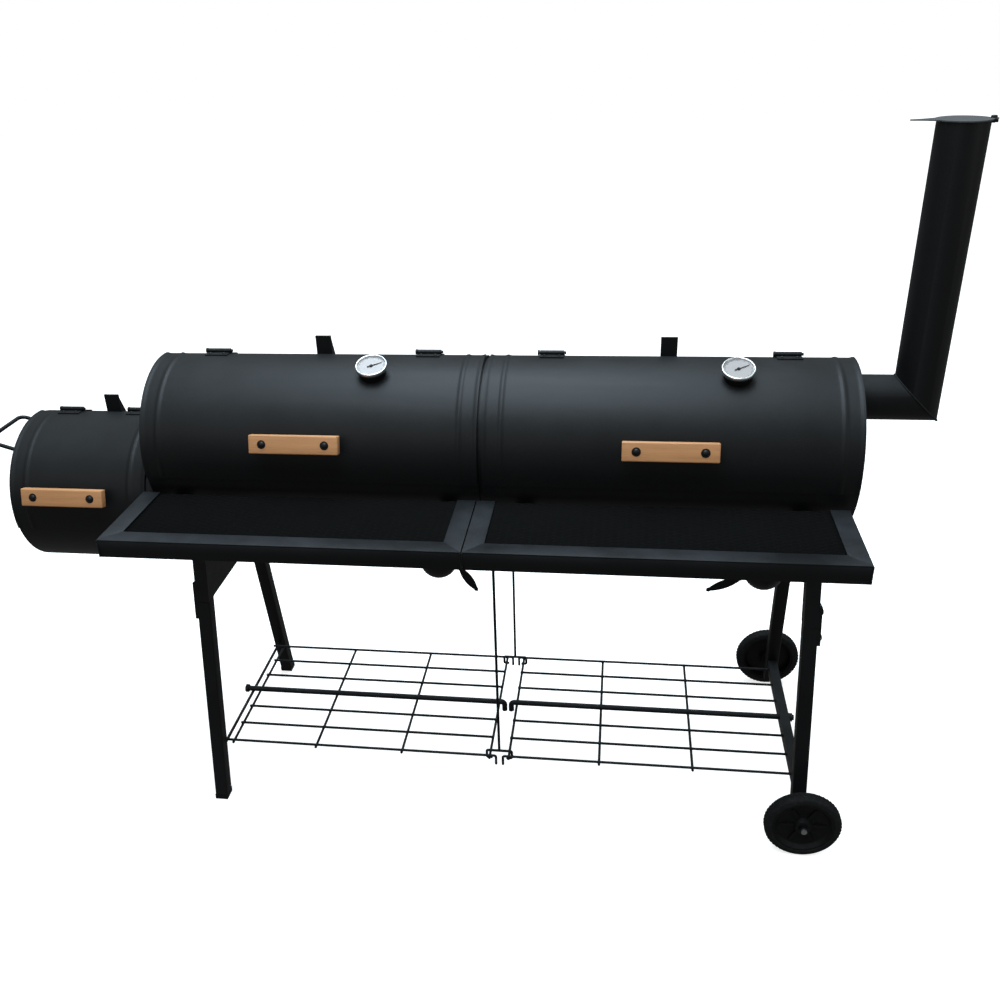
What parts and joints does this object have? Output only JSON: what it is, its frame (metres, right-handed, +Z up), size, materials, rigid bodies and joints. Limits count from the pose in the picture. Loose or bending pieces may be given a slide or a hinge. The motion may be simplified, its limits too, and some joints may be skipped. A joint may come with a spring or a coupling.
{
  "type": "offset smoker",
  "caption": "Charcoal smoker with a low side firebox, barrel cooking chambers end to end with hinged lids, an elbow chimney, mesh front shelves and a wheeled splayed-leg stand",
  "frame": {"origin": "on the floor, under the middle of the whole footprint", "axes": "+X along the barrels from the firebox to the chimney, -Y towards the user (lid fronts and shelves), +Z up"},
  "size_m": [2.0494, 0.719, 1.4545],
  "materials": {
    "black_paint": "satin black heat-resistant paint, slightly textured",
    "frame_paint": "satin black paint on angle iron and tube",
    "wood": "light varnished hardwood",
    "bolt_steel": "zinc-plated, dulled",
    "grip_bolt": "black oxide",
    "dial_case": "bright bezel, pale face",
    "needle": "black enamel",
    "cap_metal": "light grey paint",
    "grate_iron": "black enamelled",
    "tyre": "ribbed grey-black tread",
    "wheel_plastic": "dark moulded disc",
    "cup_metal": "dark painted pressed cup"
  },
  "bodies": {
    "frame": {"centre_bars": "frame_paint", "chamber_joint_ring": "black_paint", "chimney_fittings": "black_paint", "chimney_pipe": "black_paint", "coal_grate": "grate_iron", "cross_bars": "frame_paint", "drain_fittings": "black_paint", "firebox_ends": "black_paint", "firebox_shell": "black_paint", "foot_caps": "wheel_plastic", "frame_bolts": "grip_bolt", "front_left_leg": "frame_paint", "front_right_leg": "frame_paint", "grate_ledges": "black_paint", "hanger_rods": "frame_paint", "hinge_body_leaves": "black_paint", "hinge_pins": "grip_bolt", "left_chamber_ends": "black_paint", "left_chamber_shell": "black_paint", "left_grate": "grate_iron", "left_saddle": "frame_paint", "left_shelf_frame": "frame_paint", "left_shelf_mesh": "frame_paint", "left_wire_shelf": "frame_paint", "lid_stops": "black_paint", "lift_handle": "frame_paint", "rear_left_leg": "frame_paint", "rear_right_leg": "frame_paint", "right_chamber_ends": "black_paint", "right_chamber_shell": "black_paint", "right_grate": "grate_iron", "right_saddle": "frame_paint", "right_shelf_frame": "frame_paint", "right_shelf_mesh": "frame_paint", "right_wire_shelf": "frame_paint", "frame_plates": "frame_paint", "wheel_axle": "bolt_steel"},
    "firebox_lid": {"firebox_lid": "black_paint", "firebox_grip": "wood", "firebox_grip_bolts": "grip_bolt"},
    "left_lid": {"left_lid": "black_paint", "left_grip": "wood", "left_grip_bolts": "grip_bolt", "left_thermometer": "dial_case"},
    "right_lid": {"right_lid": "black_paint", "right_grip": "wood", "right_grip_bolts": "grip_bolt", "right_thermometer": "dial_case"},
    "left_needle": {"left_needle": "needle"},
    "right_needle": {"right_needle": "needle"},
    "chimney_cap": {"chimney_cap": "cap_metal"},
    "air_damper": {"air_damper": "black_paint"},
    "front_wheel": {"front_wheel_rim": "wheel_plastic", "front_wheel_tyre": "tyre"},
    "rear_wheel": {"rear_wheel_rim": "wheel_plastic", "rear_wheel_tyre": "tyre"},
    "left_drip_cup": {"left_drip_cup": "cup_metal", "left_cup_arm": "frame_paint"},
    "right_drip_cup": {"right_drip_cup": "cup_metal", "right_cup_arm": "frame_paint"}
  },
  "joints": [
    {"name": "firebox_lid_hinge", "type": "hinge", "parent": "frame", "child": "firebox_lid", "pos_m": [-0.76825, 0.05386, 0.86919], "axis": [-1, 0, 0], "range_deg": [0, 115]},
    {"name": "left_lid_hinge", "type": "hinge", "parent": "frame", "child": "left_lid", "pos_m": [-0.24925, 0.05467, 1.00913], "axis": [-1, 0, 0], "range_deg": [0, 115]},
    {"name": "right_lid_hinge", "type": "hinge", "parent": "frame", "child": "right_lid", "pos_m": [0.47875, 0.05467, 1.00913], "axis": [-1, 0, 0], "range_deg": [0, 115]},
    {"name": "left_needle_pivot", "type": "hinge", "parent": "left_lid", "child": "left_needle", "pos_m": [-0.12025, -0.04905, 1.01551], "axis": [0, 0.3746, -0.9272], "range_deg": [-195, 70]},
    {"name": "right_needle_pivot", "type": "hinge", "parent": "right_lid", "child": "right_needle", "pos_m": [0.60975, -0.04905, 1.01551], "axis": [0, 0.3746, -0.9272], "range_deg": [-195, 70]},
    {"name": "chimney_cap_pivot", "type": "hinge", "parent": "frame", "child": "chimney_cap", "pos_m": [1.01625, 0.0255, 1.449], "axis": [0, 0, 1], "range_deg": [0, 110]},
    {"name": "air_damper_pivot", "type": "hinge", "parent": "frame", "child": "air_damper", "pos_m": [-0.93425, 0.0255, 0.636], "axis": [1, 0, 0], "range_deg": [0, 60]},
    {"name": "front_wheel_spin", "type": "hinge", "parent": "frame", "child": "front_wheel", "pos_m": [0.79475, -0.2825, 0.08], "axis": [0, 1, 0], "continuous": true},
    {"name": "rear_wheel_spin", "type": "hinge", "parent": "frame", "child": "rear_wheel", "pos_m": [0.79475, 0.3335, 0.08], "axis": [0, 1, 0], "continuous": true},
    {"name": "left_cup_swivel", "type": "hinge", "parent": "frame", "child": "left_drip_cup", "pos_m": [-0.08325, 0.0255, 0.538], "axis": [0, 0, 1], "range_deg": [-40, 40]},
    {"name": "right_cup_swivel", "type": "hinge", "parent": "frame", "child": "right_drip_cup", "pos_m": [0.77375, 0.0255, 0.538], "axis": [0, 0, 1], "range_deg": [-40, 40]}
  ]
}
